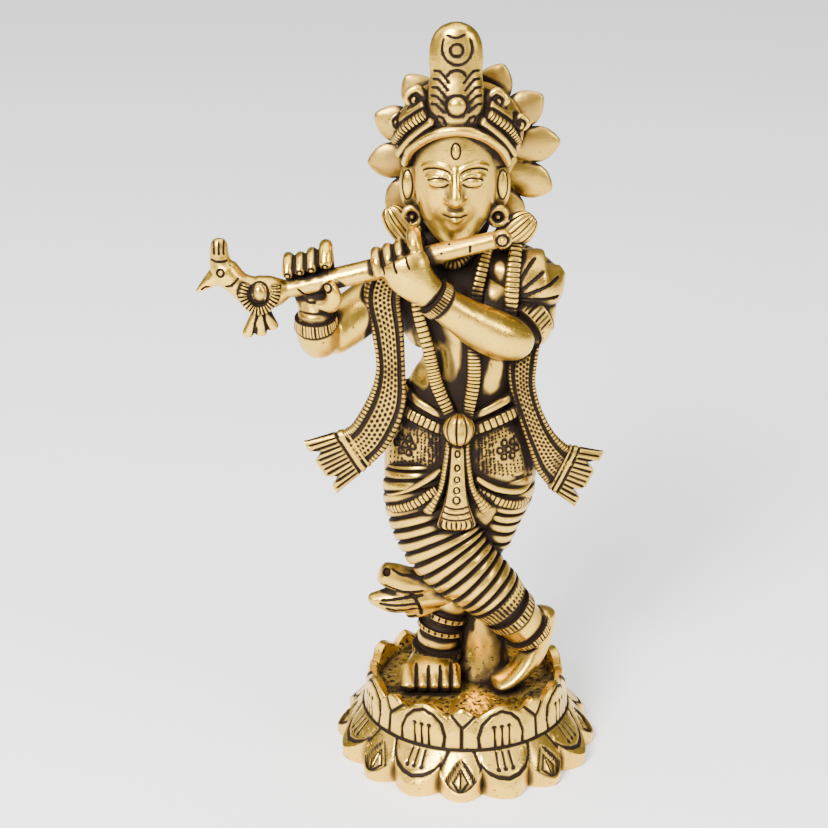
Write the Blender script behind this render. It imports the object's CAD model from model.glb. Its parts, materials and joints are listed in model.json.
import json
import math
import bmesh
import bpy
import numpy as np
from mathutils import Matrix, Vector, noise
from mathutils.bvhtree import BVHTree
from mathutils.kdtree import KDTree

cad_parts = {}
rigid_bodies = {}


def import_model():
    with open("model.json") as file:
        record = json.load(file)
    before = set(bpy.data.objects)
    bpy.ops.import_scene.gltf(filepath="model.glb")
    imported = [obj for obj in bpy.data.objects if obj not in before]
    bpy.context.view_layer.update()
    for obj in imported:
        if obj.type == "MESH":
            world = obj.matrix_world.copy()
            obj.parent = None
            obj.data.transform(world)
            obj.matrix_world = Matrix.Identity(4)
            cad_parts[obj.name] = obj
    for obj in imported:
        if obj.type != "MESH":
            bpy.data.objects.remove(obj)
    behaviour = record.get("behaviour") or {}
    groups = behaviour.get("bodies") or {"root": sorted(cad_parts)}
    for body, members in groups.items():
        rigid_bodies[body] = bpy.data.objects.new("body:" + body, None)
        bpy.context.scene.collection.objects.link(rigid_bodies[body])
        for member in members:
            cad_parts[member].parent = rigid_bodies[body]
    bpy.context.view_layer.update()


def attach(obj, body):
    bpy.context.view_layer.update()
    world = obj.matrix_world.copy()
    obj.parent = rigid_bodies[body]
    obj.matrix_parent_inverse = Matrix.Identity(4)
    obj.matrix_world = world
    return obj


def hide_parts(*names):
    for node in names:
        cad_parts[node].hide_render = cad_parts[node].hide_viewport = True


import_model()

# The lotus base is a brass cup on a spread of petals, cast in one pour with the figure.
# The lower petals slope out to a filed edge, and the upper ones stand up as the wall of the cup.
# Outlines, veins and dots are cut into them with a graver; the cup's floor is left as it came from the mould.
base_radius = 42.4
petal_root = 37.6
petal_tip_height = 4.8
small_petal_drop = 2.2
waist_radius = 33.5
waist_height = 13.4
rim_radius = 31.6
rim_height = 26.6
valley_height = 22.8
cup_wall = 2.6
floor_height = 20.0
petal_count = 8
base_turn = -3.5
base_squeeze = 0.97
cut_depth = 0.55
cut_half = 0.62
vein_half = 0.4
diamond_half = 0.32
lump_size = 1.3
lump_depth = 0.17
bright_brass = (0.91, 0.57, 0.065, 1)
warm_brass = (0.33, 0.20, 0.05, 1)
old_patina = (0.011, 0.0055, 0.0025, 1)


def corners(mesh):
    """The corners of a mesh as rows of x, y, z."""
    flat = np.empty(len(mesh.vertices) * 3)
    mesh.vertices.foreach_get("co", flat)
    return flat.reshape(-1, 3)


def put_corners(mesh, points):
    """Moves the corners of a mesh to rows of x, y, z."""
    mesh.vertices.foreach_set("co", np.ascontiguousarray(points).ravel())
    mesh.update()


def mark(mesh, name, values):
    """Stores one number for each corner of a mesh, for the brass to read."""
    layer = mesh.attributes.get(name) or mesh.attributes.new(name, "FLOAT", "POINT")
    numbers = np.broadcast_to(np.asarray(values, dtype=np.float32), len(mesh.vertices))
    layer.data.foreach_set("value", np.ascontiguousarray(numbers))


def as_mesh(bm, name):
    """Ends the work on a bmesh and gives the result as a mesh."""
    mesh = bpy.data.meshes.new(name)
    bm.to_mesh(mesh)
    bm.free()
    return mesh


def bar(sides, rows):
    """A closed round bar cut into rows, with the turn and the share of the length at each corner."""
    bm = bmesh.new()
    bmesh.ops.create_cone(bm, cap_ends=True, segments=sides, radius1=1, radius2=1, depth=1)
    walls = [e for e in bm.edges if abs(e.verts[0].co.z - e.verts[1].co.z) > 0.5]
    bmesh.ops.subdivide_edges(bm, edges=walls, cuts=rows - 1)
    mesh = as_mesh(bm, "bar")
    at = corners(mesh)
    return mesh, np.arctan2(at[:, 1], at[:, 0]), at[:, 2] + 0.5


def cut(points, lines, half=cut_half):
    """Depth of a graver's cuts, 1 along the lines and 0 beside them."""
    nearest = np.full(len(points), half)
    for line in lines:
        ends = np.asarray(line, float)
        for start, end in zip(ends[:-1], ends[1:]):
            run = end - start
            share = np.clip((points - start) @ run / (run @ run), 0, 1)
            nearest = np.minimum(nearest, np.linalg.norm(points - start - share[:, None] * run, axis=1))
    return 1 - (nearest / half) ** 2


def arch(degrees, half, bluntness):
    """Height of a petal's edge: 1 at its middle, 0 at its sides."""
    return 1 - np.minimum(1, np.abs(degrees) / half) ** bluntness


def mirrored(line):
    """A line that ends on the middle, carried on down the other side."""
    return list(line) + [(-x, z) for x, z in reversed(line[:-1])]


def dot(x, z):
    """A line so short that its cut is a round dot."""
    return [(x - 0.25, z), (x + 0.25, z)]


pitch = 360 / petal_count
rows_between = (1, 5, 2, 28, 3, 16, 17, 2, 5, 11, 22)
sides_in_petal = 64
mesh, turn, share = bar(petal_count * sides_in_petal, sum(rows_between))
row = np.rint(share * sum(rows_between)).astype(int)
degrees = np.degrees(turn) % 360
from_gap = (degrees + pitch / 2) % pitch - pitch / 2
from_petal = degrees % pitch - pitch / 2
large = arch(from_petal, 12, 1.7)
small = arch(from_gap, 10.5, 1.8)
out = petal_root + (base_radius - petal_root) * np.maximum(large, small)
slope = (waist_height - petal_tip_height) / (base_radius - waist_radius)
edge = waist_height - (out - waist_radius) * slope - 0.6 * small_petal_drop * (small > large)
rise = np.maximum(arch(from_petal, 14, 1.7), 0.85 * arch(from_gap, 9.5, 1.4))
top = valley_height + (rim_height - valley_height) * rise
bulge = arch(from_petal, 13.5, 2.2)
inner = rim_radius - cup_wall
# The profile runs from the ground up the outside, over the rim and down to the middle of the cup's floor.
profile = [
    (out - 0.4, 0),
    (out, 0.5),
    (out + 0.1, edge - 0.7),
    (out - 0.7, edge + 0.1),
    (waist_radius + 0.6, waist_height - 0.5),
    (waist_radius - 0.1, waist_height + 0.2),
    ((waist_radius + rim_radius) / 2 + 0.3 + 0.6 * bulge, (waist_height + top) / 2),
    (rim_radius + 0.7 * bulge, top - 0.7),
    (rim_radius - 0.5 + 0.5 * bulge, top),
    (inner + 0.3, top - 0.6),
    (inner - 1, floor_height),
    (3, floor_height),
]
ends = np.cumsum((0,) + rows_between)
radius = np.zeros(len(row))
height = np.zeros(len(row))
for level, ((r0, z0), (r1, z1)) in enumerate(zip(profile[:-1], profile[1:])):
    here = (row >= ends[level]) & (row <= ends[level + 1])
    f = np.clip((row - ends[level]) / rows_between[level], 0, 1)
    radius = np.where(here, r0 + (r1 - r0) * f, radius)
    height = np.where(here, z0 + (z1 - z0) * f, height)

edge_row, waist_row, rim_row, wall_row = ends[[3, 5, 8, 9]]
lower_row = (row >= edge_row) & (row <= waist_row)
upper_row = (row > waist_row) & (row <= rim_row)
inside = row > wall_row
up_the_skin = np.where(upper_row, height, radius)
petal_arc = np.stack([np.radians(from_petal) * radius, up_the_skin], axis=1)
gap_arc = np.stack([np.radians(from_gap) * radius, up_the_skin], axis=1)
wedge = 4.9 * np.clip((radius - 35.4) / 4.0, 0, 1) ** 0.8 - np.abs(gap_arc[:, 0])
is_small = wedge > 0
leaf_edge = mirrored([(-9.2, 34), (-8.6, 35.8), (-6.8, 38), (-3.6, 39.6), (0, 40.3)])
leaf_vein_places = (-2.4, -0.3, 1.9)
leaf_veins = [[(x, 34.4), (1.12 * x, 37.6)] for x in leaf_vein_places]
leaf_dots = [dot(1.12 * x, 38.1) for x in leaf_vein_places]
diamond = mirrored([(0, 36.6), (-2.4, 38.9), (0, 41.3)])
lower_cuts = np.where(
    is_small,
    cut(gap_arc, [diamond, [(0, 37.4), (0, 40.2)]], diamond_half),
    np.maximum(cut(petal_arc, [leaf_edge] + leaf_dots), cut(petal_arc, leaf_veins, vein_half)),
)
crevice = 1 - np.minimum(np.abs(wedge - 0.2) / 0.4, 1) ** 2
lower_cuts = np.maximum(lower_cuts, 1.3 * crevice * (radius > 35.6))
ogive = mirrored([(-7.3, 13.6), (-7.6, 17.4), (-6.2, 21.2), (-3.4, 24), (0, 25.3)])
ogive_vein_places = (-2.2, 0.2, 2.6)
ogive_veins = [[(x, 13.6), (1.05 * x - 0.3, 20.2)] for x in ogive_vein_places]
ogive_dots = [dot(1.05 * x - 0.3, 20.6) for x in ogive_vein_places]
fork = [[(0, 13.6), (0, 20.6)], [(0, 20.6), (-3.6, 24.2)], [(0.3, 20.4), (4.2, 23.8)]]
upper_cuts = np.maximum(cut(petal_arc, [ogive] + ogive_dots), cut(petal_arc, ogive_veins, vein_half))
upper_cuts = np.maximum(upper_cuts, cut(gap_arc, fork))
waist_cut = 1 - np.minimum(np.abs(height - waist_height) / 0.5, 1) ** 2
ridge = np.clip(1 - np.abs(gap_arc[:, 0]) / 3.6, 0, 1) - small_petal_drop * np.clip(wedge / 0.9, 0, 1)
outside = upper_row | lower_row
height = height - cut_depth * lower_cuts * lower_row + ridge * is_small * lower_row
radius = radius - cut_depth * upper_cuts * upper_row - 0.4 * waist_cut * outside
angle = np.radians(degrees + base_turn)
place = np.stack([base_squeeze * radius * np.sin(angle), -radius * np.cos(angle), height], axis=1)
lumps = np.array([lump_depth * noise.fractal(Vector(p / lump_size), 0.8, 2.1, 4) for p in place])
place[:, 2] += np.where(inside & (radius < inner - 1), lumps, 0)
place[:, :2] *= 1 + (np.where(inside, lumps, 0.06 * lumps) / np.maximum(radius, 5))[:, None]
put_corners(mesh, place)
groove = np.maximum.reduce([lower_cuts * lower_row, upper_cuts * upper_row, waist_cut * outside])
mark(mesh, "patina", np.clip(groove, 0, 1))
mark(mesh, "pits", np.where(inside, 1.25, 0.2))
mark(mesh, "tarnish", np.where(inside, 0.12, 0.0))
mark(mesh, "rubbed", np.where(inside, 0.75, 0.8))


def node(tree, kind, inputs=(), **settings):
    """A shader node with its settings, its inputs linked or set."""
    made = tree.nodes.new(kind)
    for name, value in settings.items():
        setattr(made, name, value)
    for socket, value in dict(inputs).items():
        if isinstance(value, bpy.types.NodeSocket):
            tree.links.new(value, made.inputs[socket])
        else:
            made.inputs[socket].default_value = value
    return made


def ramp(tree, value, stops):
    """A ramp over value, with stops of place and grey level."""
    made = node(tree, "ShaderNodeValToRGB", {"Fac": value})
    while len(made.color_ramp.elements) < len(stops):
        made.color_ramp.elements.new(0.5)
    for element, (place_at, level) in zip(made.color_ramp.elements, stops):
        element.position = place_at
        element.color = (level, level, level, 1)
    return made.outputs["Color"]


def antiqued_brass():
    """Polished brass that keeps its dark patina in every cut and hollow."""
    material = bpy.data.materials.new("antiqued_brass")
    material.use_nodes = True
    tree = material.node_tree
    tree.nodes.clear()
    at = node(tree, "ShaderNodeTexCoord").outputs["Object"]

    def attribute(name):
        return node(tree, "ShaderNodeAttribute", attribute_name=name).outputs["Fac"]

    def maths(operation, first, second, clamp=False):
        made = node(tree, "ShaderNodeMath", {0: first, 1: second}, operation=operation, use_clamp=clamp)
        return made.outputs[0]

    def plus(first, second, share, clamp=False):
        return maths("ADD", first, maths("MULTIPLY", second, share), clamp)

    def cloudy(scale, detail, roughness=0.5, across=at):
        inputs = {"Vector": across, "Scale": scale, "Detail": detail, "Roughness": roughness}
        return node(tree, "ShaderNodeTexNoise", inputs).outputs["Fac"]

    def mix(share, first, second):
        made = node(tree, "ShaderNodeMix", data_type="RGBA")
        for name, value in (("Factor", share), ("A", first), ("B", second)):
            socket = [s for s in made.inputs if s.name == name and s.enabled][0]
            if isinstance(value, bpy.types.NodeSocket):
                tree.links.new(value, socket)
            else:
                socket.default_value = value
        return [s for s in made.outputs if s.enabled][0]

    cloud = cloudy(90.0, 5.0, 0.6)
    broad = cloudy(28.0, 3.0)
    speck = cloudy(900.0, 3.0)
    hammered = cloudy(230.0, 2.0)
    holes = cloudy(560.0, 4.0, 0.7)
    depth = plus(holes, maths("SUBTRACT", 1.0, attribute("pits")), 0.11)
    pitted = ramp(tree, depth, ((0.41, 1.0), (0.46, 0.0)))
    soil = plus(attribute("patina"), maths("SUBTRACT", cloud, 0.5), 0.45)
    soil = ramp(tree, soil, ((0.15, 0.0), (0.35, 0.74), (0.52, 1.0)))
    soil = maths("MAXIMUM", soil, pitted, True)
    warm = plus(attribute("tarnish"), maths("SUBTRACT", broad, 0.40), 1.2, True)
    warm = maths("MAXIMUM", warm, ramp(tree, attribute("patina"), ((0.02, 0.0), (0.30, 0.9))), True)
    brass = mix(warm, bright_brass, warm_brass)
    brass = mix(maths("MULTIPLY", ramp(tree, speck, ((0.60, 0.0), (0.74, 1.0))), 0.5), brass, warm_brass)
    colour = mix(soil, brass, old_patina)
    dull = plus(maths("MULTIPLY", soil, 0.3), warm, 0.12)
    gloss = maths("ADD", ramp(tree, cloud, ((0.3, 0.20), (0.75, 0.36))), dull, True)
    drawn_out = node(tree, "ShaderNodeMapping", {"Vector": at, "Scale": (300.0, 300.0, 1500.0)}).outputs[0]
    scratches = cloudy(2.0, 2.0, across=drawn_out)
    relief = plus(maths("MULTIPLY", scratches, 0.22), cloud, 0.5)
    relief = plus(plus(relief, hammered, 0.8), pitted, -1.2)
    bump = node(tree, "ShaderNodeBump", {"Height": relief, "Strength": 0.5, "Distance": 0.0004}).outputs[0]
    surface = node(tree, "ShaderNodeBsdfPrincipled", {
        "Base Color": colour,
        "Roughness": gloss,
        "Metallic": maths("SUBTRACT", 1.0, maths("MULTIPLY", soil, 0.85)),
        "Specular IOR Level": 0.15,
        "Normal": bump,
    })
    node(tree, "ShaderNodeOutputMaterial", {"Surface": surface.outputs[0]})
    return material


brass_finish = antiqued_brass()

# The parts of the casting, in millimetres, kept here to be dipped and polished together.
casting = {"lotus_base": mesh}

# The legs are crossed under a pleated waistcloth, whose folds wrap each leg in narrow rolls.
# They are solid brass, joined to the base by a rough web left from the casting between the ankles.
# All forms from here on are drawn about x = 0 and then moved to the left, to where the figure's middle is.
aside = 1.5


def marked(mesh, name):
    """The numbers stored for each corner of a mesh, or noughts."""
    values = np.zeros(len(mesh.vertices), dtype=np.float32)
    if mesh.attributes.get(name):
        mesh.attributes[name].data.foreach_get("value", values)
    return values


def spline(stations, share):
    """A smooth run through the stations, at each share of its length."""
    rows = np.asarray(stations, float)
    count = len(rows) - 1
    x = np.clip(share, 0, 1) * count
    i = np.minimum(x.astype(int), count - 1)
    f = (x - i)[:, None]
    a = rows[np.maximum(i - 1, 0)]
    b = rows[i]
    c = rows[i + 1]
    d = rows[np.minimum(i + 2, count)]
    return 0.5 * (2 * b + (c - a) * f + (2 * a - 5 * b + 4 * c - d) * f**2 + (3 * b - a - 3 * c + d) * f**3)


def swept(stations, sides, rows, front=(0, -1, 0), flat=False, relief=None, tips=(0, 0), part=(0, 1), rise=0):
    """A closed form through stations of x, y, z, half width and half depth, in millimetres.
    relief gives how far the skin stands out and how dark it is, from the turn, the share of the length and
    the place across. tips are the shares of the length that are rounded off. part and rise make a band that
    covers only some of the length and stands out from the form."""
    flatness = 3.2
    evenness = 0.75
    least_tip = 0.004
    step = 1e-3
    mesh, turn, share = bar(sides, rows)
    table = [tuple(s) + (s[3],) if len(s) == 4 else tuple(s) for s in stations]
    at = part[0] + (part[1] - part[0]) * share
    run = spline(table, at)
    along = spline(table, at + step)[:, :3] - spline(table, at - step)[:, :3]
    along /= np.linalg.norm(along, axis=1)[:, None]
    ahead = np.array(front, float) - along * (along @ np.array(front, float))[:, None]
    ahead /= np.linalg.norm(ahead, axis=1)[:, None]
    side = np.cross(ahead, along)
    across = np.cos(turn)
    deep = np.sin(turn)
    if flat:
        across = evenness * (1 - 2 * np.abs(turn) / np.pi) + (1 - evenness) * across
        deep = np.sign(deep) * (1 - np.abs(across) ** flatness) ** (1 / flatness)
    shrink = np.ones(len(turn))
    for tip, gap in ((tips[0], share), (tips[1], 1 - share)):
        if tip > 0:
            left = 1 - np.clip(gap / tip, 0, 1)
            shrink *= np.sqrt(np.maximum(1 - left**2, least_tip))
    wide = (run[:, 3] + rise) * shrink
    thick = (run[:, 4] + rise) * shrink
    points = run[:, :3] + side * (wide * across)[:, None] + ahead * (thick * deep)[:, None]
    dark = np.zeros(len(turn))
    if relief is not None:
        stand, dark = relief(turn, share, across)
        outward = side * (thick * across)[:, None] + ahead * (wide * deep)[:, None]
        outward /= np.maximum(np.linalg.norm(outward, axis=1), 1e-6)[:, None]
        points += outward * (stand * shrink)[:, None]
    points[:, 0] -= aside
    put_corners(mesh, points)
    mark(mesh, "patina", np.clip(dark, 0, 1))
    return mesh


def egg(x, y, z, rx, ry=None, rz=None, sides=20):
    """A ball or egg, closed at both poles."""
    bm = bmesh.new()
    bmesh.ops.create_uvsphere(bm, u_segments=sides, v_segments=sides // 2 + 2, radius=1)
    shape = Matrix.Translation((x - aside, y, z)) @ Matrix.Diagonal((rx, ry or rx, rz or rx, 1))
    bmesh.ops.transform(bm, matrix=shape, verts=bm.verts)
    mesh = as_mesh(bm, "egg")
    mark(mesh, "patina", 0)
    return mesh


def folds(count, depth, width, slant=0.0):
    """Rolls of cloth across a form, with a dark furrow between each two."""
    def relief(turn, share, across):
        phase = (share * count + slant * np.sin(turn)) % 1
        gap = np.minimum(phase, 1 - phase)
        furrow = 1 - np.minimum(gap / (width / 2), 1) ** 2
        roll = np.sin(np.pi * phase) ** 0.7
        return -depth * furrow + 0.35 * depth * (roll - 1), furrow * 1.1
    return relief


def stroke(phase, half):
    """Depth of a row of cuts: 1 wherever phase is a whole number, and 0 from half beside it."""
    phase = phase % 1
    return np.clip(1 - np.minimum(phase, 1 - phase) / half, 0, 1)


def ring_strokes(count, depth=0.45):
    """Cuts along a bracelet's width, all the way round it, between plain borders with dark edges."""
    border = 0.14

    def relief(turn, share, across):
        cuts = stroke(turn / (2 * np.pi) * count, 0.25) * (share > border) * (share < 1 - border)
        return -depth * cuts, np.maximum(cuts, stroke(share, border))
    return relief


def placed(name, data):
    """A new object in the scene."""
    made = bpy.data.objects.new(name, data)
    bpy.context.scene.collection.objects.link(made)
    return made


def evaluated(mesh, kind, **modifier):
    """A mesh with one modifier worked into it."""
    carrier = placed("carrier", mesh)
    step = carrier.modifiers.new("step", kind)
    for name, value in modifier.items():
        setattr(step, name, value)
    result = bpy.data.meshes.new_from_object(carrier.evaluated_get(bpy.context.evaluated_depsgraph_get()))
    bpy.data.objects.remove(carrier)
    return result


def blended(forms, grain=0.42, smooth=2):
    """Forms run together as wax does: one skin over all of them, softened where they meet."""
    bm = bmesh.new()
    for form in forms:
        bm.from_mesh(form)
    mesh = as_mesh(bm, "blend")
    tree = KDTree(len(mesh.vertices))
    for i, vertex in enumerate(mesh.vertices):
        tree.insert(vertex.co, i)
    tree.balance()
    dark = marked(mesh, "patina")
    skin = evaluated(mesh, "REMESH", mode="VOXEL", voxel_size=grain)
    bm = bmesh.new()
    bm.from_mesh(skin)
    for _ in range(smooth):
        bmesh.ops.smooth_vert(
            bm, verts=bm.verts, factor=0.5, use_axis_x=True, use_axis_y=True, use_axis_z=True,
        )
    skin = as_mesh(bm, "blend")
    mark(skin, "patina", [dark[tree.find(v.co)[1]] for v in skin.vertices])
    return skin


def worked(body, forms, operation="UNION"):
    """The body with all the forms joined to it, or cut out of it."""
    tray = bpy.data.collections.new("tray")
    bpy.context.scene.collection.children.link(tray)
    for form in forms:
        tray.objects.link(bpy.data.objects.new("form", form))
    result = evaluated(
        body, "BOOLEAN", operation=operation, operand_type="COLLECTION", collection=tray, solver="MANIFOLD",
    )
    for form in list(tray.objects):
        bpy.data.objects.remove(form)
    bpy.data.collections.remove(tray)
    return result


def skin_finder(body, look=1):
    """A function for the place on a body's skin at x, z, from the front, or from the back with look -1."""
    far_off = 150
    tree = BVHTree.FromPolygons([v.co for v in body.vertices], [p.vertices[:] for p in body.polygons])
    return lambda x, z: tree.ray_cast(Vector((x, -far_off * look, z)), Vector((0, look, 0)))[0]


def graver(body, lines, size, look=1, dark=1.0):
    """Thin wires with tapered ends, laid on the body along lines of x, z, to cut grooves or to add as ridges.
    A line that would jump from one form to another is left out."""
    spacing = 0.9
    fewest = 9
    taper = 0.16
    longest_jump = 3.5
    find = skin_finder(body, look)
    cutters = []
    for line in lines:
        points = np.array([(x - aside, z) for x, z in line], float)
        length = np.linalg.norm(np.diff(points, axis=0), axis=1).sum()
        count = max(fewest, int(length / spacing) + 1)
        run = spline(points, np.linspace(0, 1, count))
        stations = []
        for x, z in run:
            hit = find(x, z)
            if hit is not None:
                stations.append((hit.x + aside, hit.y, hit.z, size))
        if len(stations) > 2:
            steps = np.abs(np.diff([s[1] for s in stations]))
            if steps.max() < longest_jump:
                cutter = swept(stations, sides=6, rows=2 * len(stations), tips=(taper, taper))
                mark(cutter, "patina", dark)
                cutters.append(cutter)
    return cutters


crossing_leg = [
    (-12.4, 1, 96, 10.6, 11), (-11.6, -0.4, 88.5, 13.4, 12.4), (-8.6, -2.6, 78.5, 14.2, 12.8),
    (-4.6, -4.8, 69.4, 13.2, 12.2), (1.4, -6.4, 62, 11.4, 11), (8.4, -7, 55.4, 9.8, 10),
    (12.6, -6.6, 50.6, 8.4, 8.8),
]
crossing_ankle = [
    (8.6, -7, 55, 9.2, 9.6), (13.4, -6.4, 49.4, 7.6, 8), (17.4, -4.6, 44.2, 7.2, 7.4),
    (21, -3, 39.6, 6.4, 6.8), (23.4, -2, 36, 4.6, 5.6),
]
standing_leg = [
    (12.4, 3, 95, 9.4, 11), (12.6, 2.6, 86.6, 9.8, 11.8), (10.6, 3, 78, 8.4, 11.2), (7.6, 3.4, 69, 7.8, 10),
]
standing_shin = [
    (8, 3.5, 71, 7.4, 9.4), (2.6, 5, 60, 8, 8.6), (-3.6, 5, 46, 7.2, 7.4), (-6.2, 5, 37, 6.8, 6.8),
    (-7.2, 5, 30, 6.8, 7), (-7.4, 5, 25, 6.6, 6.8),
]
legs = [
    swept(crossing_leg, 72, 156, relief=folds(18, 1.0, 0.34, 0.12)),
    swept(crossing_ankle, 56, 40),
    swept(crossing_ankle, 120, 12, part=(0.08, 0.22), rise=0.9, relief=ring_strokes(40)),
    swept(crossing_ankle, 120, 10, part=(0.28, 0.40), rise=0.9, relief=ring_strokes(36)),
    swept(crossing_ankle, 120, 14, part=(0.70, 0.84), rise=1.3, relief=ring_strokes(44)),
    swept(standing_leg, 64, 84, relief=folds(8, 1.0, 0.30, -0.12)),
    swept(standing_shin, 56, 60, relief=folds(9, 0.6, 0.3)),
    swept(standing_shin, 110, 8, part=(0.46, 0.50), rise=1.0, relief=ring_strokes(44)),
    swept(standing_shin, 110, 8, part=(0.58, 0.62), rise=1.0, relief=ring_strokes(44)),
    swept(standing_shin, 120, 14, part=(0.80, 0.90), rise=1.5, relief=ring_strokes(48)),
]
raised_foot = [
    (26, 0.5, 46, 4.2, 4.6), (24.6, -1, 38, 4.4, 5.8), (21.4, -3.2, 29.5, 3.8, 6.2),
    (15.6, -5.4, 24, 2.8, 6.2), (9.6, -7.2, 22, 1.9, 5.4),
]
flat_foot = [
    (-7.4, 12, 23, 5.6, 4), (-7.8, 6, 25.6, 6.8, 6.4), (-9.3, -1, 25, 8.4, 5.4), (-10.1, -5, 23.8, 8.9, 4.4),
    (-10.3, -9.4, 22, 8.9, 2.2),
]
casting_web = [(6.5, 4.5, 47, 5, 4), (7, 4.5, 37, 7, 4.5), (7.4, 4.5, 27, 7.6, 5), (7.4, 4.5, 18, 11, 7.5)]
toe_halves = (2.6, 1.9, 1.8, 1.7, 1.6)
feet = [
    swept(raised_foot, 36, 80, tips=(0.1, 0.1)),
    swept(flat_foot, 36, 50, front=(0, 0, 1)),
    swept(casting_web, 36, 50),
]
toe_left = -19.4
toe_gaps = []
for half in toe_halves:
    middle = toe_left + half
    toe = [(middle, -3, 26, half, 2.8), (middle, -7.6, 24, half, 2.5), (middle, -11, 22, half, 2.1)]
    feet.append(swept(toe, 24, 40, front=(0, 0, 1), tips=(0, 0.2)))
    toe_left += 2 * half
    toe_gaps.append([(toe_left, 28.4), (toe_left, 25.4), (toe_left, 22.4), (toe_left, 20.4)])
upper_roll = [
    (-3, 3, 55, 4.5, 4.5), (-15, 1, 54, 4.8, 5), (-21, 0.5, 56, 4.4, 4.6), (-25.8, 0, 58.2, 3.2, 3.8),
]
middle_roll = [
    (-2, 2, 50, 4, 4.5), (-14, 1, 48.8, 4, 5), (-22, 0, 48.4, 4.2, 4.4), (-29.6, -0.5, 49.2, 1.2, 1.8),
]
lower_roll = [(-3, 3, 47, 3.4, 3.6), (-11, 2, 45.5, 3.6, 4), (-18, 1, 43.6, 2.2, 2.6)]
gathered = [
    swept(upper_roll, 44, 60, tips=(0, 0.12)),
    swept(middle_roll, 44, 60, tips=(0, 0.08)),
    swept(lower_roll, 36, 40, tips=(0, 0.1)),
]
lower = blended(feet + gathered, smooth=3)
lower = worked(lower, legs)
lower_lines = [
    [(-12, 51.4), (-19, 50.6), (-25.4, 49.6)],
    [(-13, 49), (-20, 48.4), (-26, 48.6)],
    [(-14, 46.8), (-19, 46.4), (-24, 47.2)],
    [(-12, 57.6), (-18, 58.2), (-22, 60)],
    [(-12, 53), (-18.4, 53), (-24.4, 55)],
    [(-14, 43.6), (-18, 42.8)],
    [(-16, 52.6), (-13.4, 48), (-12.6, 44)],
]
hollows = [egg(-23.6, -3.4, 59.4, 1.5, 2.4, 1.5, 12), egg(-17, -3, 60.6, 3, 3, 1.6, 14)]
for hollow in hollows:
    mark(hollow, "patina", 1)
carving = graver(lower, lower_lines, 0.55) + graver(lower, toe_gaps[:4], 0.62)
lower = worked(lower, carving + hollows, "DIFFERENCE")
x, y, z = corners(lower).T
web = np.clip((36 - z) / 10, 0, 1) * ((np.abs(x - 6) < 9) & (y > -3))
mark(lower, "pits", web)
mark(lower, "rubbed", 0.8 * web)
mark(lower, "tarnish", np.clip((28 - z) / 12, 0, 0.25))
casting["legs_and_waistcloth"] = lower

# The trunk, neck and bare arms are one casting with the rest, filed smooth and polished on chest and arms.
# Two long garlands, a strap and a ribbed collar lie on them in low relief, with cut bracelets and an armlet.
# The cloth over the hips is stippled by a punch round a cluster of rings on each side.
neck = [(-1.5, 3, 158, 8, 6.5), (-2.6, 2.5, 165, 6.2, 5.8), (-2.8, 2.5, 174, 6, 5.8)]
trunk = [
    (0, 3.5, 163, 9, 6), (0.6, 3.5, 158, 17, 8.5), (0.6, 3, 149, 18.6, 10.4), (-0.4, 3, 143.6, 19.4, 11),
    (2.2, 2.8, 137, 15.8, 11), (2.9, 2.5, 130, 15, 10.6), (1.6, 3, 123, 15.4, 10.8),
    (-0.2, 3, 116.6, 17.4, 11.6), (-0.4, 3, 109, 21, 13), (-0.4, 3, 101, 23.2, 14), (-0.8, 2.5, 91, 23.4, 14),
    (-1.2, 2, 83, 21.4, 12.5), (-2, 1.5, 76, 16, 10),
]
left_upper_arm = [
    (19, 4, 158.6, 6, 6.4), (20.8, 2, 150, 6.6, 7), (20.6, -1.5, 143, 6.6, 7), (17.6, -7, 137.6, 6.8, 6.8),
]
left_forearm = [
    (19.2, -6.4, 137.4, 6, 6), (11.4, -11, 140, 7.2, 6.8), (4.6, -14, 144, 6.8, 6.2),
    (-2.6, -17, 149.4, 5.6, 5.2), (-9.8, -19, 155.2, 4.8, 4.4),
]
right_upper_arm = [
    (-10, 3.5, 156.5, 6.5, 7), (-20, 2.5, 152, 7.4, 7.2), (-29, -0.5, 146, 7.6, 7.2),
    (-36.5, -4, 141, 7.4, 7), (-43, -8, 136.6, 6, 6.2),
]
right_forearm = [
    (-41.6, -7, 135.4, 5.4, 5.4), (-43.2, -10.6, 140, 6.3, 6.3), (-43.8, -13.5, 145, 5.6, 5.6),
    (-43.9, -14.5, 150, 4.8, 4.4),
]
armlet = [(20.5, -1.4, 144.2, 8.1, 7.8), (16.5, -5.4, 141.2, 8.1, 7.8)]
garland_right = [
    (-12, -6.4, 158, 1.6, 1.4), (-14.2, -8.4, 150, 1.8, 1.5), (-10.6, -9.2, 135, 2, 1.6),
    (-8.2, -9.6, 124.6, 2.1, 1.8), (-3.6, -11, 114.4, 1.9, 2),
]
garland_left = [
    (6.4, -4.6, 165, 1.8, 1.6), (3.4, -9, 152, 2, 1.6), (2.8, -9.4, 138.5, 2.1, 1.6),
    (2.8, -9.6, 126, 2.1, 1.8), (0.8, -11, 114.4, 1.9, 2),
]
strap = [
    (15, -3.4, 166, 2, 1.4), (14.3, -7.4, 160, 2.2, 1.4), (13.8, -9.6, 153.4, 2.2, 1.4),
    (13.4, -9, 146, 2.2, 1.4),
]
collar = [(-9.6, -2.4, 163.4, 1.3, 1.4), (-3.6, -6.4, 160.6, 1.5, 2), (3, -2.4, 163.4, 1.3, 1.4)]
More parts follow.
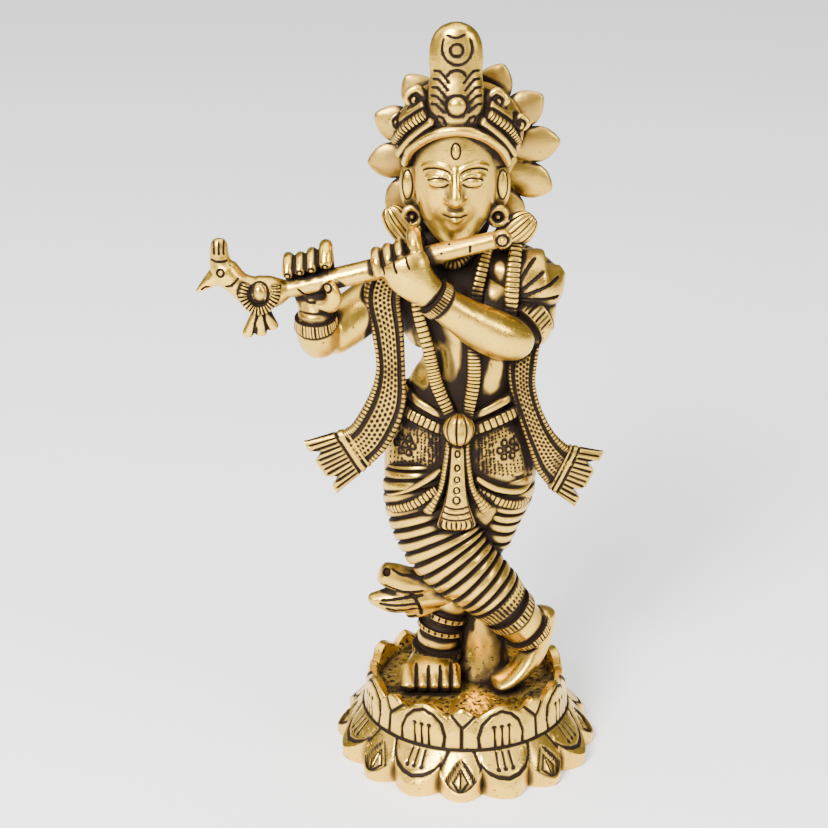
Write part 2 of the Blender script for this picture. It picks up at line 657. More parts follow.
skin_forms = [
    swept(neck, 48, 40),
    swept(trunk, 120, 150),
    swept(left_upper_arm, 48, 44, tips=(0, 0.2)),
    swept(left_forearm, 48, 70, tips=(0.14, 0)),
    swept(right_upper_arm, 48, 70, tips=(0, 0.14)),
    swept(right_forearm, 48, 40, tips=(0.2, 0)),
    egg(-6, -3.6, 150, 9, 6, 6.4, 28),
    egg(9, -3.6, 150, 8.4, 6, 6, 28),
]
body = blended(skin_forms, grain=0.68, smooth=3)


def strokes(count, depth, share_cut=0.42):
    """Short cuts across a band, all the way along it."""
    def relief(turn, share, across):
        cuts = stroke(share * count, share_cut / 2)
        return -depth * cuts, cuts
    return relief


jewels = [
    swept(garland_right, 26, 200, flat=True, relief=strokes(40, 0.35)),
    swept(garland_left, 26, 220, flat=True, relief=strokes(44, 0.35)),
    swept(strap, 24, 90, flat=True, relief=strokes(15, 0.35)),
    swept(collar, 24, 80, relief=strokes(16, 0.4)),
    swept(armlet, 110, 16, relief=ring_strokes(32, 0.6)),
    swept(left_forearm, 110, 14, part=(0.89, 0.98), rise=0.9, relief=ring_strokes(36)),
    swept(right_forearm, 110, 14, part=(0.64, 0.80), rise=0.9, relief=ring_strokes(40)),
]
body = worked(body, jewels)


def around(x, z, half_width, half_height, start, end, count=9):
    """An arc of an oval, as a line for the graver."""
    angles = np.radians(np.linspace(start, end, count))
    return [(x + half_width * math.cos(a), z + half_height * math.sin(a)) for a in angles]


def ring(x, z, half_width, half_height=0):
    """A whole oval in two strokes of the graver, each running a little past the other's start."""
    half_height = half_height or half_width
    return [around(x, z, half_width, half_height, start, start + 220, 10) for start in (-110, 70)]


def punched(body, points):
    """Small pits left by a punch, cut in one go."""
    pit_size = 0.33
    find = skin_finder(body)
    bm = bmesh.new()
    for x, z in points:
        hit = find(x - aside, z)
        if hit is not None:
            bmesh.ops.create_icosphere(bm, subdivisions=1, radius=pit_size, matrix=Matrix.Translation(hit))
    mesh = as_mesh(bm, "punch")
    mark(mesh, "patina", 0.9)
    return mesh


clusters = ((-17.7, 103.3), (13.4, 102.6))
cluster_reach = 2.5
cluster_room = 4.0
small_ring = 0.9
ring_marks = []
for cluster in clusters:
    for x, z in [cluster] + around(*cluster, cluster_reach, cluster_reach, 0, 300, 6):
        ring_marks += ring(x, z, small_ring)
body_lines = [[(-11.5, 153), (-8, 146.4), (-1.5, 145), (1.2, 148)]]
back_lines = [[(0.4, 147), (0.8, 139), (1.4, 130)]]
for k in range(7):
    lowest = 106 - 4.2 * k
    half = 18.5 - 0.5 * k
    back_lines.append([(-0.8 + half * s, lowest + 5 * s**2) for s in np.linspace(-1, 1, 9)])
panels = (
    ((-21.6, 112.6), (-7.2, 108), (-7, 99.6), (-22.4, 90.2)),
    ((4.4, 107.6), (17.2, 112.6), (21, 92.6), (4.6, 97)),
)
unevenness = 0.3
spots = []
for top_left, top_right, low_right, low_left in panels:
    for s in np.linspace(0, 1, 14):
        for t in np.linspace(0, 1, 15):
            upper = np.array(top_left) * (1 - s) + np.array(top_right) * s
            under = np.array(low_left) * (1 - s) + np.array(low_right) * s
            x, z = upper * (1 - t) + under * t
            x += unevenness * noise.noise(Vector((x, z, 0)))
            z += unevenness * noise.noise(Vector((x, z, 9)))
            if min(math.dist((x, z), cluster) for cluster in clusters) > cluster_room:
                spots.append((x, z))
carving = graver(body, body_lines, 0.42) + graver(body, ring_marks, 0.34)
carving += graver(body, back_lines, 0.5, look=-1)
body = worked(body, carving + [punched(body, spots)], "DIFFERENCE")
x, y, z = corners(body).T
mark(body, "tarnish", np.where(z < 114, 0.32, np.clip(0.5 - np.abs(z - 160) / 24, 0, 0.4)))
chest_side = np.clip(2 - np.abs(x - 8.6) / 2.2, 0, 1) * np.clip(2 - np.abs(z - 159) / 5, 0, 1)
mark(body, "rubbed", 1.4 * chest_side * (y < 0))
casting["trunk_and_arms"] = body

# The shawl hangs from the neck in two long strands and is drawn over the left shoulder and across the back.
# It is cast standing out from the body, with ribbed hems, a stippled middle and a pleated fringe past a cuff.
right_strand = [
    (-14, -2, 162, 4.4, 3), (-21.5, -4.6, 158.4, 5, 2.6), (-24.4, -5.6, 151, 5.6, 2.4),
    (-22.8, -6.6, 140, 4.8, 2.3), (-22, -7, 128, 4.4, 2.3), (-23.4, -7, 117, 6, 2.3),
    (-28.4, -6, 106.4, 6.6, 2.3), (-33.4, -5, 101.2, 6.9, 2.3),
]
left_strand = [
    (18.6, -3.4, 138, 4.6, 2.4), (17.4, -4.6, 130, 4.6, 2.3), (17.6, -5, 122, 4, 2.3),
    (20, -6, 113.6, 3.8, 2.3), (23.6, -6, 105, 4.6, 2.3), (27.4, -5.2, 98.4, 6.4, 2.3),
    (30.6, -5, 95.2, 7.4, 2.3),
]
shoulder = [
    (7, 1, 160, 4, 7), (13, 0.4, 157, 7, 9), (19, 0, 154.4, 9.4, 9.4), (24, 0.6, 153.6, 8.2, 8.2),
    (29.2, 1.8, 156.6, 1.6, 2.2),
]
back_drape = [
    (-25, 3, 151, 4.6, 4), (-16, 9.4, 156.6, 5.4, 4.4), (0, 11.8, 157.6, 5.6, 4.8),
    (16, 9.4, 156.8, 5.4, 4.4), (25, 4, 153, 4.6, 4),
]


def bordered(stitch):
    """A length of cloth with a ribbed hem at each side, a dark line inside each hem and a stippled middle."""
    hem = 0.30
    columns = 4.5

    def relief(turn, share, across):
        line = 1 - np.minimum(np.abs(np.abs(across) - (1 - hem * 1.3)) / 0.14, 1) ** 2
        rib = stroke(share * stitch, 0.26) * (np.abs(across) > 1 - hem)
        wave = (share * stitch * 0.8 + 0.5 * (np.floor(across * columns) % 2)) % 1
        cell = (across * columns) % 1
        spot = np.clip(1.35 - np.hypot(wave - 0.5, cell - 0.5) / 0.36, 0, 1)
        spot *= np.abs(across) < 1 - hem * 1.55
        depth = 0.75 * line + 0.38 * rib + 0.4 * spot
        return -depth * np.clip(np.abs(np.sin(turn)) * 3, 0, 1), np.maximum.reduce([line, 0.95 * rib, spot])
    return relief


def slab(outline, front, back):
    """A flat piece cut to an outline of x, z, between two depths."""
    bm = bmesh.new()
    face = bm.faces.new([bm.verts.new((x - aside, front, z)) for x, z in outline])
    grown = bmesh.ops.extrude_face_region(bm, geom=[face])
    far_side = [v for v in grown["geom"] if isinstance(v, bmesh.types.BMVert)]
    bmesh.ops.translate(bm, verts=far_side, vec=(0, back - front, 0))
    bmesh.ops.recalc_face_normals(bm, faces=bm.faces)
    mesh = as_mesh(bm, "slab")
    mark(mesh, "patina", 0.3)
    return mesh


def pleats(turn, share, across):
    """Two cuts across the cuff and, beyond them, long cuts between the pleats."""
    long_cuts = stroke(across * 5.5 + 0.5, 0.22) * (share > 0.34) * np.clip((0.97 - share) / 0.1, 0, 1)
    cuff = np.clip(1 - np.minimum(np.abs(share - 0.12), np.abs(share - 0.30)) / 0.05, 0, 1)
    depth = np.maximum(long_cuts, cuff)
    return -0.6 * depth, depth


def fringe(root, end, root_half, end_half):
    """The pleated end of a strand, from its cuff to three points."""
    root = np.array(root)
    end = np.array(end)
    out = (end - root) / np.linalg.norm(end - root)
    over = np.array((-out[1], out[0]))
    middle = (root + end) / 2
    pleated = swept([
        (root[0], -5, root[1], root_half, 2.6),
        (middle[0], -4.8, middle[1], (root_half + end_half) / 2, 2.1),
        (end[0], -4.4, end[1], end_half, 1.5),
    ], 130, 56, flat=True, relief=pleats)
    notches = []
    for side in (-0.46, 0.5):
        mouth = end + over * end_half * side
        wedge = [mouth + over * 3 + out * 2, mouth - over * 3 + out * 2, mouth - out * 3.6]
        notches.append(slab(wedge, -12, 4))
    return worked(pleated, notches, "DIFFERENCE")


shawl = worked(swept(right_strand, 88, 230, flat=True, relief=bordered(58)), [
    swept(left_strand, 88, 180, flat=True, relief=bordered(42)),
    fringe((-31.6, 102.4), (-43.4, 95.4), 7, 10),
    fringe((29.2, 95.8), (38.4, 91.6), 7.8, 10.2),
    swept(back_drape, 80, 170, front=(0, 1, 0), flat=True, relief=bordered(46)),
    swept(shoulder, 64, 60),
])
shawl_lines = [
    [(14.6, 153), (17.4, 158.6), (20.6, 162.4)],
    [(15, 152.4), (20.4, 156.8), (25.2, 160)],
    [(15.2, 151.4), (21.4, 153.6), (28, 156)],
    [(15.4, 150.6), (21.6, 150.6), (28, 150.6)],
    [(18.4, 148.6), (22.6, 147.4), (26.8, 146.6)],
]
shawl = worked(shawl, graver(shawl, shawl_lines, 0.7), "DIFFERENCE")
mark(shawl, "tarnish", 0.22)
casting["shawl"] = shawl

# Two belts go round the waist and two hems cross each hip; a bud-shaped knot holds the belts in front.
# From the knot hang a trumpet-shaped sash and a ribbed cord on each side of it, all in one with the casting.
sash_length = 29
sash_halves = (2.0, 2.4, 3.6, 6.6)
sash_places = ((-1.9, -11.8, 108), (-2, -13.6, 98), (-2.2, -15, 89), (-2.2, -15.8, 79.4))
sash = [(*place_at, half, 1.7) for place_at, half in zip(sash_places, sash_halves)]
cord_halves = ((1, 1.6), (1.1, 1.6), (1.3, 1.7), (2.3, 1.8))
cords = (
    ((-4.4, -11.8, 107), (-5.4, -12.8, 99), (-7, -13.4, 91.6), (-11.2, -13.4, 84)),
    ((0.6, -11.8, 107), (1.2, -12.8, 99), (2.7, -13.4, 91.6), (7.2, -13, 84.6)),
)


def sash_relief(turn, share, across):
    """Rings down the middle of the sash, arcs below them and a ribbed hem."""
    x = across * np.interp(share, [0, 0.33, 0.66, 1], sash_halves)
    z = share * sash_length
    ring_cut = np.zeros(len(turn))
    for centre, size in ((5, 0.8), (8.6, 0.8), (12.2, 0.9), (15.8, 1.0), (19, 1.1)):
        ring_cut = np.maximum(ring_cut, np.clip(1 - np.abs(np.hypot(x, z - centre) - size) / 0.4, 0, 1))
    bow = np.hypot(x, z - 12)
    arcs = np.zeros(len(turn))
    for size in (9.6, 11.2, 12.8):
        arcs = np.maximum(arcs, np.clip(1 - np.abs(bow - size) / 0.42, 0, 1) * (np.abs(across) < 0.86))
    rib = stroke(np.arctan2(x, z - 12) * 9.5, 0.2) * (bow > 13.4)
    line = np.clip(1 - np.abs(np.abs(across) - 0.9) / 0.06, 0, 1)
    depth = np.maximum.reduce([ring_cut, arcs, rib])
    return -0.4 * depth * (np.sin(turn) > 0.05), np.maximum(depth, line)


def band(stations, half, stroke_count=0, rows=120):
    """A belt laid over the front of the waist or hips."""
    relief = strokes(stroke_count, 0.35) if stroke_count else None
    return swept([(*s, half, 1.2) for s in stations], 28, rows, flat=True, relief=relief)


def segments(count, depth):
    """Furrows from end to end of a form, all the way round it."""
    def relief(turn, share, across):
        furrow = stroke(turn / (2 * np.pi) * count, 0.16)
        return -depth * furrow, furrow
    return relief


def behind(x, half_width, z, drop):
    """A belt carried round the back, sagging a little in the middle."""
    stations = []
    for a in np.radians(np.arange(0, 181, 22.5)):
        back = 1.5 + 0.7 * half_width * math.sin(a)
        stations.append((x + half_width * math.cos(a), back, z - drop * math.sin(a), 1.2, 1.4))
    return stations


upper_belt = [(-17.4, 0, 119.8), (-13, -7.6, 117.4), (-1.6, -9.6, 113.2), (11.6, -7.6, 118), (16.4, 0, 119.8)]
lower_belt = [(-20.2, 0, 116), (-15, -8.4, 113.8), (-1.6, -10.8, 109.6), (13.4, -8.4, 114), (19, 0, 116)]
right_hip_line = [(-23.4, 2, 85.6), (-21.4, -6.8, 87.4), (-15, -10.8, 91.4), (-6.6, -12, 97.6)]
right_hip_band = [(-22.4, 1, 81.8), (-21.4, -8, 83.4), (-15, -13, 87), (-8, -13.4, 91.8)]
left_hip_line = [(3.6, -12, 95), (10.4, -10.6, 90.8), (17.6, -6.8, 89), (21.6, 2, 91)]
left_hip_band = [(4, -12.2, 91), (12, -10.4, 86.4), (17.8, -6.8, 84.8), (20.8, 2, 86)]
knot = [
    (-1.6, -13, 107.2, 2), (-1.6, -13.4, 109, 4), (-1.6, -13.2, 111.6, 4.8, 4), (-1.6, -12.6, 114.2, 3.8),
    (-1.6, -12, 116, 1.4),
]
hung_cords = []
for cord in cords:
    stations = [(*place_at, *halves) for place_at, halves in zip(cord, cord_halves)]
    hung_cords.append(swept(stations, 28, 130, relief=strokes(22, 0.22, 0.3), tips=(0, 0.06)))
belts = worked(swept(sash, 150, 90, flat=True, relief=sash_relief, tips=(0, 0.12)), [
    *hung_cords,
    swept(behind(-0.5, 17.4, 119.8, 2.6), 24, 60, front=(0, 0, 1), flat=True),
    swept(behind(-0.7, 20, 116, 3), 24, 200, front=(0, 0, 1), flat=True, relief=strokes(34, 0.35)),
    band(upper_belt, 1.3),
    band(lower_belt, 1.7, 34, 210),
    band(right_hip_line, 1.0),
    band(right_hip_band, 1.5, 20, 130),
    band(left_hip_line, 1.0),
    band(left_hip_band, 1.5, 18, 120),
    swept(knot, 72, 40, relief=segments(9, 0.5), tips=(0.1, 0.1)),
])
mark(belts, "tarnish", 0.15)
casting["belts_and_sash"] = belts

# Both hands and the flute they hold, which ends in a bird with a comb, a hatched wing and a short tail.
# They are cast with the arms. Nails, comb, eye and beak are cut with a graver, and so is the knob at the
# flute's other end.
flute_tube = [(12.2, -15, 172, 2.4), (-8.3, -15, 166.7, 3), (-35, -15, 160, 3.2), (-55, -15, 155.2, 2.5)]
bird = [
    (-51.6, -15, 156.2, 2.6, 2.6), (-56, -15, 155.2, 4.8, 4), (-61.6, -15, 155, 5.2, 4.2),
    (-66, -15, 157.6, 3.8, 3.4), (-69.8, -15, 161.4, 4.2, 3.8), (-71.2, -15, 165, 3, 2.6),
    (-71.3, -15, 171.6, 2.4, 1.8),
]
beak = [(-69.6, -15, 162, 3.8, 3.2), (-74.2, -15, 158.6, 2.2, 2), (-78.4, -15, 155.1, 0.5, 0.5)]
left_palm = [
    (-9.6, -19, 155.4, 4.6, 3.8), (-14.6, -20, 160, 6.2, 4.2), (-17.4, -20, 164, 7.2, 4.2),
    (-19, -19.2, 167, 6.6, 3.6),
]
right_palm = [(-43.8, -14, 148, 4.6, 4), (-44.4, -12.5, 154, 5.8, 3.6), (-45.6, -11.2, 160, 6.8, 3)]
thumb = [
    (-44, -14.6, 151.4, 2.6, 2.4), (-39.4, -17, 152, 2.6, 2.2), (-38.2, -18.4, 155.4, 2.2, 2),
    (-40, -18.6, 159.4, 1.7, 1.6),
]
left_fingers = ((-26, 167.4, 1.7), (-22.6, 168.6, 1.7), (-19.2, 169.8, 1.75), (-15.2, 173, 2.2))
right_fingers = (
    (-51.4, 165.2, 160.4, 1.7), (-47.9, 165.4, 161.3, 1.65), (-44.5, 166.6, 162, 1.7),
    (-40.5, 168.4, 163.2, 2.1),
)
hand_forms = [
    swept(flute_tube, 36, 150),
    swept(bird, 40, 90, tips=(0, 0.08)),
    swept(beak, 24, 40),
    swept(left_palm, 40, 50, tips=(0, 0.14)),
    swept(right_palm, 36, 40),
    swept(thumb, 28, 40, tips=(0, 0.14)),
]
for x, top_z, half in left_fingers:
    finger = [
        (x + 1.2, -19.6, top_z - 6, half), (x + 0.2, -18.8, top_z - 1.8, half), (x, -15.6, top_z, half),
        (x, -12.6, top_z - 1.8, half),
    ]
    hand_forms.append(swept(finger, 24, 36))
for x, top_z, tip_z, half in right_fingers:
    finger = [
        (x + 0.5, -10.6, 157, half), (x, -11.8, top_z - 1, half), (x, -15.6, top_z - 0.6, half),
        (x - 0.2, -18.4, tip_z, half),
    ]
    hand_forms.append(swept(finger, 24, 44, tips=(0, 0.14)))
tail_tips = ((-64.2, 141.4), (-59.8, 141.6), (-55.8, 143.6))
for x, z in tail_tips:
    hand_forms.append(swept([(-59.6, -15, 152, 1.5, 1.8), (x, -15, z, 1.7, 1.5)], 24, 36, tips=(0, 0.12)))
held = blended(hand_forms, grain=0.32)
wing = [
    (-63.6, -18.2, 158.6), (-64.4, -19, 154.6), (-61.6, -19.2, 151.2), (-57.8, -19, 151.6),
    (-55.2, -18.4, 155), (-55.2, -17.6, 158.4),
]
held = worked(held, [
    swept([(*p, 1.5, 1.0) for p in wing], 24, 150, relief=strokes(22, 0.45, 0.5)),
    egg(-59.8, -18.2, 155.8, 2.2, 1.8, 2.9),
    egg(10.4, -16.8, 171.7, 2.9, 1.8, 2.9),
    egg(10.4, -18.3, 171.7, 0.9, 0.8, 0.9, 12),
])
hand_lines = [
    [(-74.4, 165.8), (-71.4, 165), (-68.2, 165.4)],
    [(-72.6, 167), (-72.8, 171)], [(-71.3, 167), (-71.3, 172)], [(-70, 167), (-69.8, 171)],
    *ring(-70.9, 161.9, 1),
    *ring(-59.8, 155.8, 2.6, 3.3),
    *ring(10.4, 171.7, 1.6),
    [(1.1, 167.8), (1.1, 170.2)], [(-5.2, 170), (-4.6, 170.2)], [(-7.4, 167.6), (-6.8, 167.8)],
    [(-24.4, 168.6), (-24.2, 165.6), (-23.4, 162.6)],
    [(-21, 169.6), (-20.8, 166.4), (-19.8, 163.4)],
    [(-17.4, 170.6), (-17.2, 167.4), (-16.2, 164.8)],
    [(-48.8, 157), (-46, 154.8), (-43.4, 154.8)],
    [(-48, 153.8), (-45.6, 152.4), (-43.4, 152.6)],
    [(-77, 156), (-75.4, 157.2), (-74.2, 157)],
    [(-69.8, 157.8), (-67.6, 158.4), (-65.8, 160.4)],
    [(-60.4, 149.4), (-61.4, 146), (-62, 142.4)],
    [(-59, 149.4), (-58.4, 146), (-57.8, 142.8)],
]
for x, _, tip_z, _ in right_fingers:
    hand_lines += ring(x - 0.2, tip_z + 0.7, 0.8)
hand_lines += ring(-40, 157.8, 1.1, 1.3)
held = worked(held, graver(held, hand_lines, 0.4), "DIFFERENCE")
casting["hands_and_flute"] = held

# The head has a calm, plain face on the usual thirds, long ears, ring earrings and locks on the shoulders.
# The crown stands on it in the same metal: a cap, a rolled brow band, slanted bands, curls and a tall plume.
middle = -3
skull = [
    (middle, 0.8, 169, 4.8, 6.4), (middle, 0, 170.8, 8, 8.8), (middle, 0.2, 174.2, 10.7, 9.9),
    (middle, 0.5, 179, 12.1, 10.6), (middle, 0.9, 184, 12.6, 11), (middle, 1.3, 189, 12.6, 11.5),
    (middle, 2, 195, 12.3, 11.9), (middle, 2.6, 202, 11, 11.4),
]
nose = [
    (middle, -8.8, 191.4, 1.6, 1.4), (middle, -10.4, 186, 1.6, 1.7), (middle, -12.1, 181.8, 2.1, 1.9),
    (middle, -9.8, 180, 2.2, 1.3),
]
face_forms = [
    swept(skull, 96, 90),
    swept(nose, 24, 40, tips=(0.1, 0.1)),
    egg(middle, -6.4, 172.4, 4.6, 3, 3),
    egg(middle, -9.4, 195.8, 0.9, 1.5, 1.8),
]
lips = ((177.7, 4.0, 0.8, 177.5), (176.3, 3.3, 1.0, 175.5))
for corner_z, half, thick, middle_z in lips:
    lip = [
        (middle - half, -8.8, corner_z, 0.3), (middle, -10.6, middle_z, 1.3, thick),
        (middle + half, -8.8, corner_z, 0.3),
    ]
    face_forms.append(swept(lip, 20, 40, front=(0, 0, 1)))
for way in (-1, 1):
    face_forms += [
        egg(middle + way * 2.0, -10, 181, 1.3, 1.5, 1.2),
        egg(middle + way * 5, -8.6, 186.6, 3.3, 1.9, 2.1),
        egg(middle + way * 13.6, 0.8, 183, 2.8, 3, 6.8),
    ]
face = blended(face_forms, grain=0.36, smooth=3)
ridges = []
mouth = ((-3.8, 176.9), (-1.4, 176.5), (0, 176.7), (1.4, 176.5), (3.8, 176.9))
face_lines = [[(middle + x, z) for x, z in mouth], *ring(middle, 195.8, 1.3, 2.3)]
for way in (-1, 1):
    x = middle + way * 5
    ridges += [
        around(x, 186.3, 3.7, 2.6, 12, 168),
        around(x + way * 0.4, 188.8, 4.7, 2.8, 20, 160),
    ]
    face_lines += [
        around(x + way * 0.4, 187.9, 4.6, 2.7, 25, 155),
        around(x, 186.4, 3.3, 1.5, 10, 170),
        around(x, 186.8, 3.2, 1.8, 195, 345),
        *ring(middle + way * 13.9, 183.6, 1.5, 4.4),
    ]
face = blended([face] + graver(face, ridges, 0.62, dark=0.0), grain=0.3)
face = worked(face, graver(face, face_lines, 0.34), "DIFFERENCE")
mark(face, "rubbed", 1)
cap = [
    (-2, 4.6, 187, 12, 7.4), (-2, 4.6, 190, 16.6, 9.8), (-1.9, 4, 196, 18.6, 10.8),
    (-1.8, 2.8, 201, 18.6, 11.8), (-2, 1.6, 206.4, 16, 11), (-2.3, 1, 211.6, 10.6, 8.4), (-2.3, 1, 214, 4, 3),
]
hair_at_nape = [
    (-2.6, 4.6, 191, 11.6, 9), (-2.6, 5.4, 184, 12.2, 8.6), (-2.7, 5.2, 177, 11.4, 7.6),
    (-2.8, 4, 171.4, 7, 5),
]
brow_band = [
    (-17.6, 0.4, 189.4, 1.5, 1.9), (-15.6, -5.2, 195.6, 1.6, 2), (-10, -9.4, 200.6, 1.7, 2),
    (-2.8, -11, 202.4, 1.7, 2), (4.4, -9.4, 200.6, 1.7, 2), (10, -5.2, 195.6, 1.6, 2),
    (12.4, 0.4, 189.4, 1.5, 1.9),
]
plume = [
    (-3, -6.4, 201.4, 6.8, 5), (-3, -6.8, 206, 8.4, 5), (-3, -6, 212, 8.2, 4.6), (-3, -5, 217, 7.5, 4.2),
    (-3, -4.4, 222, 7.8, 4.2), (-3, -4, 225.8, 7.4, 4.1), (-3, -3.8, 228.8, 6.2, 3.8),
    (-3, -3.6, 230.8, 4.2, 3), (-3, -3.5, 232, 1.4, 1.2),
]
crown_parts = [
    swept(cap, 90, 70, tips=(0.06, 0.05)),
    swept(hair_at_nape, 110, 40, relief=segments(26, 0.5), tips=(0, 0.1)),
    swept(brow_band, 36, 120, tips=(0.05, 0.05)),
    swept(plume, 60, 100, tips=(0, 0.03)),
    egg(-2.8, -11, 209.4, 2.7, 1.6, 2.7, 28),
]
crown_middle = -2.7
slanted_bands = (
    (((16.6, 0.2, 192.6), (12.6, -6, 199.4), (6.4, -9.8, 205.4)), 1.5, 2.2, False),
    (((17.4, 0, 196.8), (14.4, -5, 202), (8.4, -8.6, 207)), 1.7, 2.4, True),
    (((17, 0.6, 200.8), (14, -4.2, 205.4), (8.8, -7, 209.4)), 1.5, 2.2, False),
)
for way in (-1, 1):
    for places, half, thick, hatched in slanted_bands:
        slant = [(crown_middle + way * x, y, z, half, thick) for x, y, z in places]
        if hatched:
            hatching = strokes(14, 0.4)
            crown_parts.append(swept(slant, 36, 110, flat=True, relief=hatching, tips=(0.06, 0.06)))
        else:
            crown_parts.append(swept(slant, 36, 60, tips=(0.08, 0.08)))
curls = (
    (-14.2, -5, 210.4, 3.6, -1), (8.4, -5, 209.8, 3.5, 1), (15.6, -2.6, 202.4, 2.6, 1),
    (-19.6, -1.6, 202.8, 2.4, -1),
)
scroll = ((1.1, -1.6), (1.1, 0), (1, 1.5), (0.85, 3), (0.62, 4.5), (0.3, 6), (0.05, 7))
for x, y, z, size, way in curls:
    curl = []
    for s, a in scroll:
        out = 0.75 * size * s
        half = 0.36 * size * (0.6 + 0.4 * s)
        curl.append((x + way * out * math.cos(a), y - 1.4 * (1 - s) - 0.4, z + out * math.sin(a), half))
    crown_parts += [swept(curl, 20, 70, tips=(0.08, 0.08)), egg(x, y + 0.8, z, size * 0.9, 1.9, size)]


def combed(turn, share, across):
    """Locks of hair, as long cuts from root to tip."""
    furrow = stroke(across * 3.6 + 0.5, 0.18)
    return -0.55 * furrow, furrow


left_hair = [
    (-13, -1, 165.4, 2.6, 2.4), (-16.6, -2, 168.6, 4, 2.8), (-20, -2.6, 173, 4.4, 2.4),
    (-22.6, -2.8, 177.4, 3, 1.4),
]
right_hair = [
    (8, -1, 165.4, 2.6, 2.4), (11.6, -2, 167.4, 4.2, 2.8), (15.8, -2.6, 170.6, 5.2, 2.4),
    (20, -2.8, 174.6, 3.6, 1.4),
]
for hair in (left_hair, right_hair):
    crown_parts.append(swept(hair, 80, 60, relief=combed, tips=(0, 0.2)))
earring_height = 174.6
earring_reach = 2.5
for x in (-15.6, 9.6):
    circle = around(x, earring_height, earring_reach, earring_reach, 0, 360, 13)
    crown_parts += [
        swept([(loop_x, -3.4, loop_z, 1.1) for loop_x, loop_z in circle], 20, 80),
        egg(x, -3.6, earring_height, 1.0),
        egg(x, -1.6, earring_height, 2.6, 1.4, 2.6),
    ]
# Metal left between the neck and the hair at each side.
neck_fills = [egg(10.1, -8, 169.4, 2.0, 1.6, 2.0), egg(-10.6, 0.6, 166.2, 3.0, 2.2, 2.4)]
head = worked(face, crown_parts + neck_fills)
crown_lines = [
    [(-6, 229), (-3, 228.2), (-0.4, 229.2)],
    [(-6.4, 228.2), (-7, 225), (-5.6, 221.8), (-2.8, 220.6), (0.2, 221.8), (1.4, 225), (0.6, 228.2)],
    *ring(-2.9, 224.7, 1.8),
    *ring(-2.8, 209.4, 3.0),
]
plume_middle = -2.9
for way in (-1, 1):
    strands = []
    for k in range(5):
        start_z = 218.6 - 2.3 * k
        outer = min(7.4, 6.6 + 0.3 * k)
        inner_end = 2.0 + 0.35 * k
        drop = 3.2 - 0.3 * k
        strands.append([
            (outer, start_z), (0.5 * outer + 0.5 * inner_end + 0.6, start_z + 0.1),
            (0.25 * outer + 0.75 * inner_end, start_z - 0.5 * drop), (inner_end, start_z - drop),
        ])
    for outer, top in ((7.6, 206.8), (5.4, 206.4)):
        strands.append([(outer, top), (outer - 1.6, top - 0.6), (outer - 2.6, top - 2.6)])
    for strand in strands:
        crown_lines.append([(plume_middle + way * x, z) for x, z in strand])
crown_lines.append([(-5.6, 217.2), (-4.6, 218.6), (-2.9, 219.2), (-1.2, 218.6), (-0.2, 217.2)])
head = worked(head, graver(head, crown_lines, 0.44), "DIFFERENCE")
casting["head_and_crown"] = head

# The flower behind the head: twelve rounded petals round a thick disc that runs into the back of the crown.
# Each petal is smooth and polished on its face, and dark where it meets its neighbours.
flower_centre = (-0.2, 12.2, 189.8)
petal_reach = 28.8
flower_petals = 12
flower_x, flower_y, flower_z = flower_centre
first_bearing = 23.4
petal_profile = (
    (9, 0.8, 2.6, 1.4), (15, 0, 4.6, 1.7), (20.5, -0.2, 5.6, 1.8), (25, 0, 4.6, 1.5),
    (petal_reach, 0.2, 1.0, 0.8),
)
petals = []
for k in range(flower_petals):
    bearing = math.radians(first_bearing + 360 / flower_petals * k)
    leaf = []
    for reach, back, half, thick in petal_profile:
        x = flower_x + reach * math.sin(bearing)
        z = flower_z + reach * math.cos(bearing)
        leaf.append((x, flower_y + back, z, half, thick))
    petals.append(swept(leaf, 40, 60, tips=(0, 0.1)))
disc_profile = ((16.4, 1.2), (16.2, 6), (15.6, 11), (14.6, 15.4), (12, 17), (9, 12))
disc = swept([(flower_x, y, flower_z, half) for y, half in disc_profile], 72, 40, front=(0, 0, 1))
flower = worked(disc, petals)
back_rings = ring(flower_x, flower_z, 6) + ring(flower_x, flower_z, 12)
flower = worked(flower, graver(flower, back_rings, 0.6, look=-1), "DIFFERENCE")
mark(flower, "tarnish", 0.5)
casting["flower"] = flower

# The whole casting is dipped dark and then polished by hand, so patina stays only where no cloth reaches.
# Short rays from each corner of the skin tell how shut in it is, by its own relief or by what stands over it.
close_reach = 4.5
far_reach = 20.0
clear_of_skin = 0.12
close_first, close_more = 0.04, 0.22
far_first, far_more = 0.21, 0.31
rubbed_away = 0.6
lean = math.radians(58)
ray_fan = [Vector((0, 0, 1))]
for a in range(0, 360, 60):
    bearing = math.radians(a)
    out = math.sin(lean)
    ray_fan.append(Vector((out * math.cos(bearing), out * math.sin(bearing), math.cos(lean))))


def evened(mesh, values):
    """Values at the corners of a mesh, each drawn towards its neighbours' a few times."""
    rounds = 3
    ends = np.empty(2 * len(mesh.edges), dtype=np.int32)
    mesh.edges.foreach_get("vertices", ends)
    ends = ends.reshape(-1, 2)
    both = np.concatenate([ends[:, 0], ends[:, 1]])
    other = np.concatenate([ends[:, 1], ends[:, 0]])
    count = np.maximum(np.bincount(both, minlength=len(values)), 1)
    for _ in range(rounds):
        beside = np.bincount(both, weights=values[other], minlength=len(values))
        values = 0.4 * values + 0.6 * beside / count
    return values


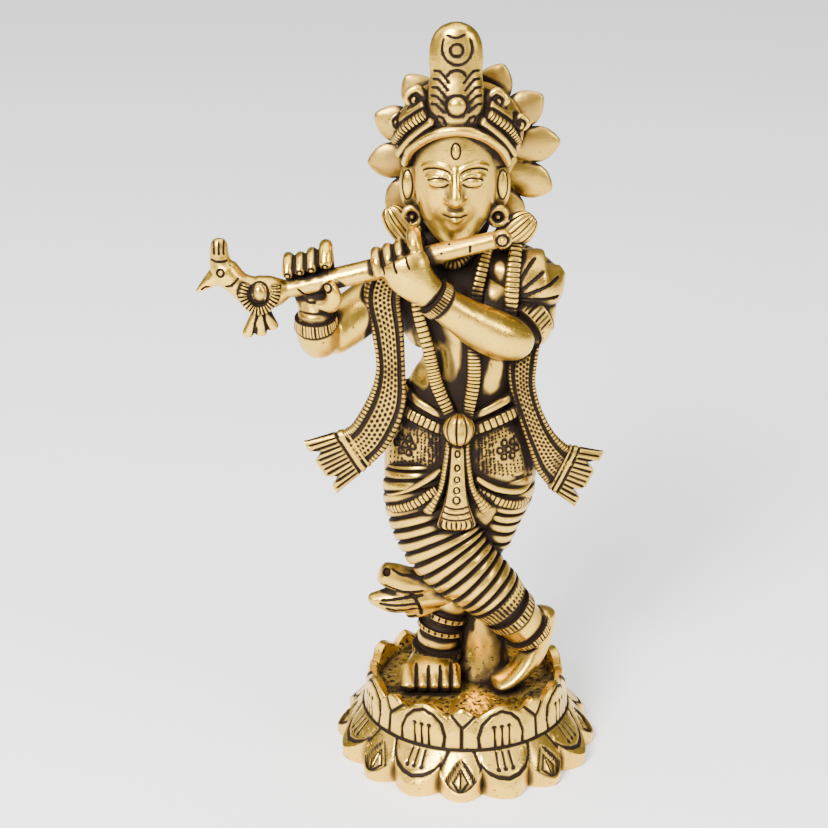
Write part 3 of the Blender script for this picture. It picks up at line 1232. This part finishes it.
def dipped():
    """Marks the patina that stays in the hollows of every part of the casting, and the tarnish round them."""
    skin = bmesh.new()
    for mesh in casting.values():
        skin.from_mesh(mesh)
    tree = BVHTree.FromBMesh(skin)
    skin.free()
    for mesh in casting.values():
        close = np.zeros(len(mesh.vertices))
        far = np.zeros(len(mesh.vertices))
        for i, vertex in enumerate(mesh.vertices):
            normal = vertex.normal
            spin = Vector((0, 0, 1)).rotation_difference(normal)
            start = vertex.co + normal * clear_of_skin
            for ray in ray_fan:
                gap = tree.ray_cast(start, spin @ ray, far_reach)[3]
                if gap is not None:
                    far[i] += 1 - gap / far_reach
                    close[i] += max(0, 1 - gap / close_reach)
        close /= len(ray_fan)
        far /= len(ray_fan)
        kept = 1 - rubbed_away * marked(mesh, "rubbed")
        shut_in = np.clip((close - close_first) / close_more, 0, 1)
        overhung = np.clip((far - far_first) / far_more, 0, 1)
        left = evened(mesh, kept * np.maximum(shut_in, overhung))
        mark(mesh, "patina", np.maximum(marked(mesh, "patina"), left))
        mark(mesh, "tarnish", np.clip(marked(mesh, "tarnish") + kept * far, 0, 1))


def finished(name, mesh):
    """Turns a mesh in millimetres into a piece of the casting, in the shared frame."""
    mesh.transform(Matrix.Scale(0.001, 4))
    mesh.validate()
    mesh.materials.clear()
    mesh.materials.append(brass_finish)
    mesh.polygons.foreach_set("material_index", [0] * len(mesh.polygons))
    mesh.polygons.foreach_set("use_smooth", [True] * len(mesh.polygons))
    mesh.set_sharp_from_angle(angle=math.radians(38))
    mesh.name = name
    piece = placed(name, mesh)
    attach(piece, "root")
    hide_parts("krishna_figure")


dipped()
for name, mesh in casting.items():
    finished(name, mesh)

# A plain pale floor, soft studio light and a camera a little above the figure.
bm = bmesh.new()
bmesh.ops.create_grid(bm, x_segments=1, y_segments=1, size=12)
floor = placed("floor", as_mesh(bm, "floor"))
paper = bpy.data.materials.new("pale_floor")
paper.use_nodes = True
paper_inputs = paper.node_tree.nodes["Principled BSDF"].inputs
paper_inputs["Base Color"].default_value = (0.98, 0.98, 0.98, 1)
paper_inputs["Roughness"].default_value = 0.8
floor.data.materials.append(paper)

world = bpy.data.worlds.new("studio")
world.use_nodes = True
sky = world.node_tree.nodes["Background"].inputs
sky["Color"].default_value = (0.92, 0.93, 0.95, 1)
sky["Strength"].default_value = 0.24
bpy.context.scene.world = world


def softbox(place, size, power):
    """A square lamp aimed at the figure's middle."""
    lamp = bpy.data.lights.new("softbox", "AREA")
    lamp.size = size
    lamp.energy = power
    holder = placed("softbox", lamp)
    holder.location = place
    aim = Vector((0, 0, 0.12)) - Vector(place)
    holder.rotation_euler = aim.to_track_quat("-Z", "Y").to_euler()


softbox(place=(-0.5, -1.0, 0.9), size=0.5, power=54)
softbox(place=(0.9, -0.6, 0.6), size=0.3, power=6)
softbox(place=(0.1, -0.3, 2.4), size=3.0, power=100)
softbox(place=(-1.6, 0.2, 1.4), size=1.3, power=12)

camera_distance = 0.7
camera_rise = math.radians(21.5)
target = Vector((-0.0165, 0, 0.111))
lens = bpy.data.cameras.new("camera")
lens.sensor_width = 36
lens.lens = 100
lens.clip_start = 0.01
camera = placed("camera", lens)
from_target = Vector((0, -camera_distance * math.cos(camera_rise), camera_distance * math.sin(camera_rise)))
camera.location = target + from_target
camera.rotation_euler = (math.pi / 2 - camera_rise, 0, 0)
bpy.context.scene.camera = camera
